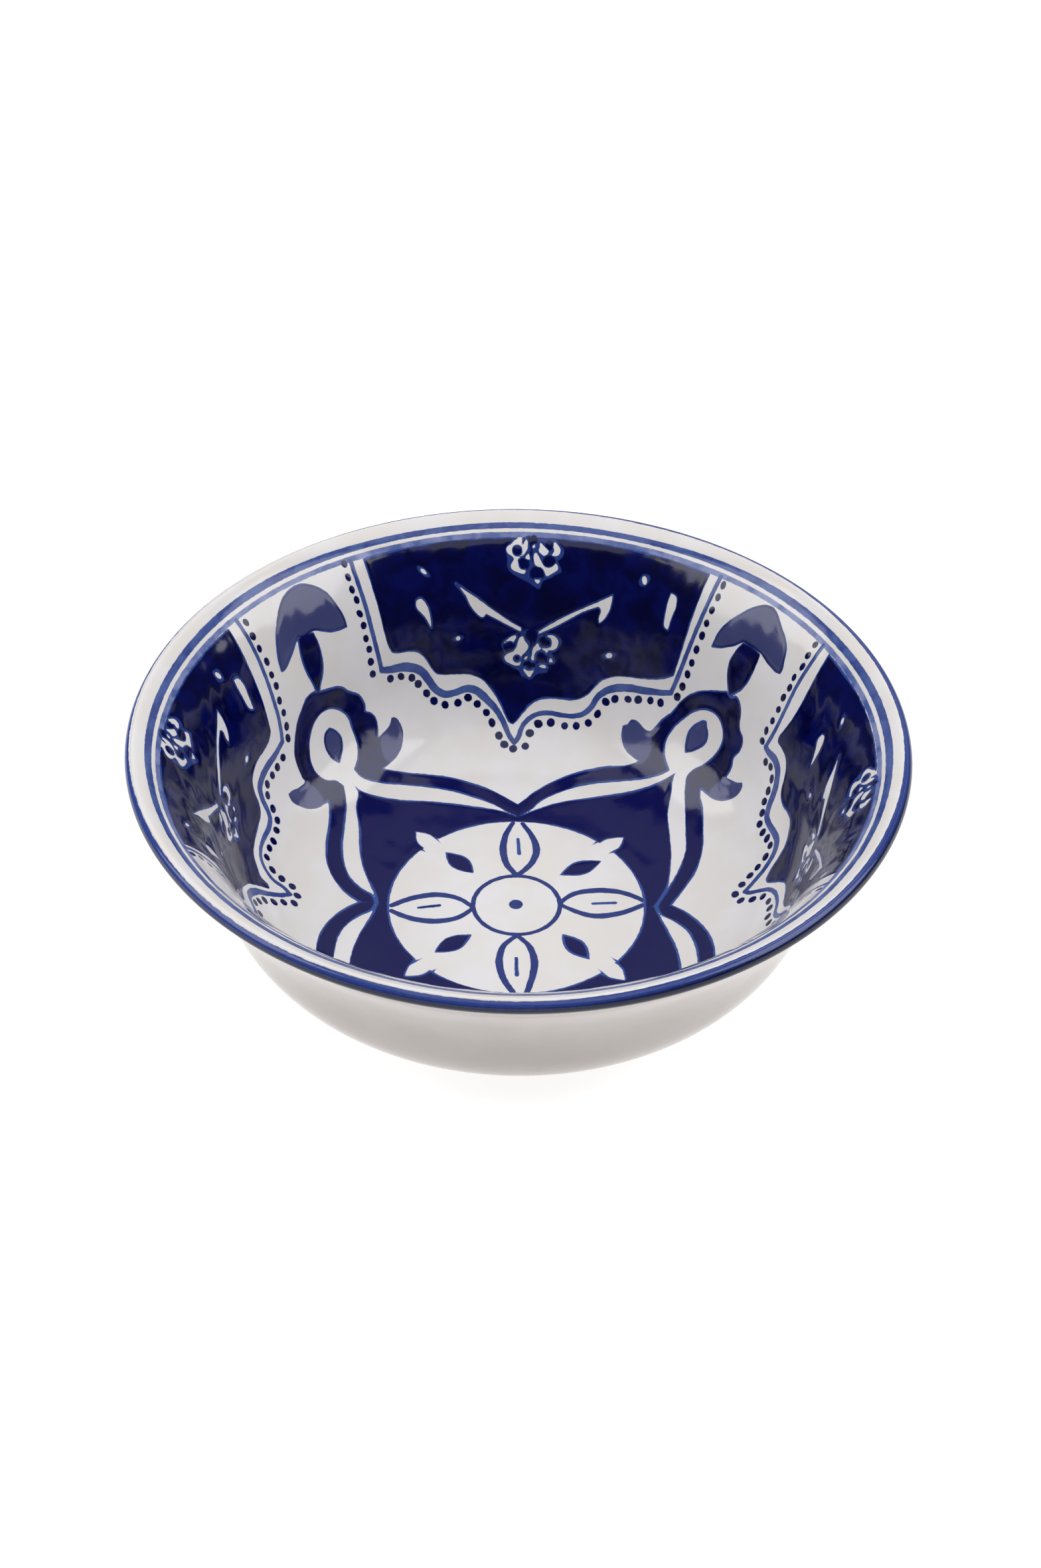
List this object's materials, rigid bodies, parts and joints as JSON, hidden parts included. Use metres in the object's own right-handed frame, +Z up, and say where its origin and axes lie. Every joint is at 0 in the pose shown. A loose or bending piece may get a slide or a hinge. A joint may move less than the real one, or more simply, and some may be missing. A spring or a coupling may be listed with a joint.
{
  "type": "painted ceramic bowl",
  "caption": "Deep round earthenware serving bowl with a flared lip, painted inside in cobalt blue on white, glazed plain outside.",
  "frame": {"origin": "on the surface that the bowl stands on, at the middle of its foot ring", "axes": "+Z up along the bowl's axis; the four painted panels are centred on +X, +Y, -X and -Y"},
  "size_m": [0.28, 0.28, 0.094],
  "materials": {
    "clay": "matte",
    "inside_glaze": "gloss",
    "rim_band": "gloss",
    "outside_glaze": "gloss",
    "base_glaze": "gloss"
  },
  "bodies": {
    "root": {"clay_body": "clay", "inside_glaze": "inside_glaze", "rim_band": "rim_band", "outside_glaze": "outside_glaze", "base_glaze": "base_glaze"}
  },
  "joints": []
}
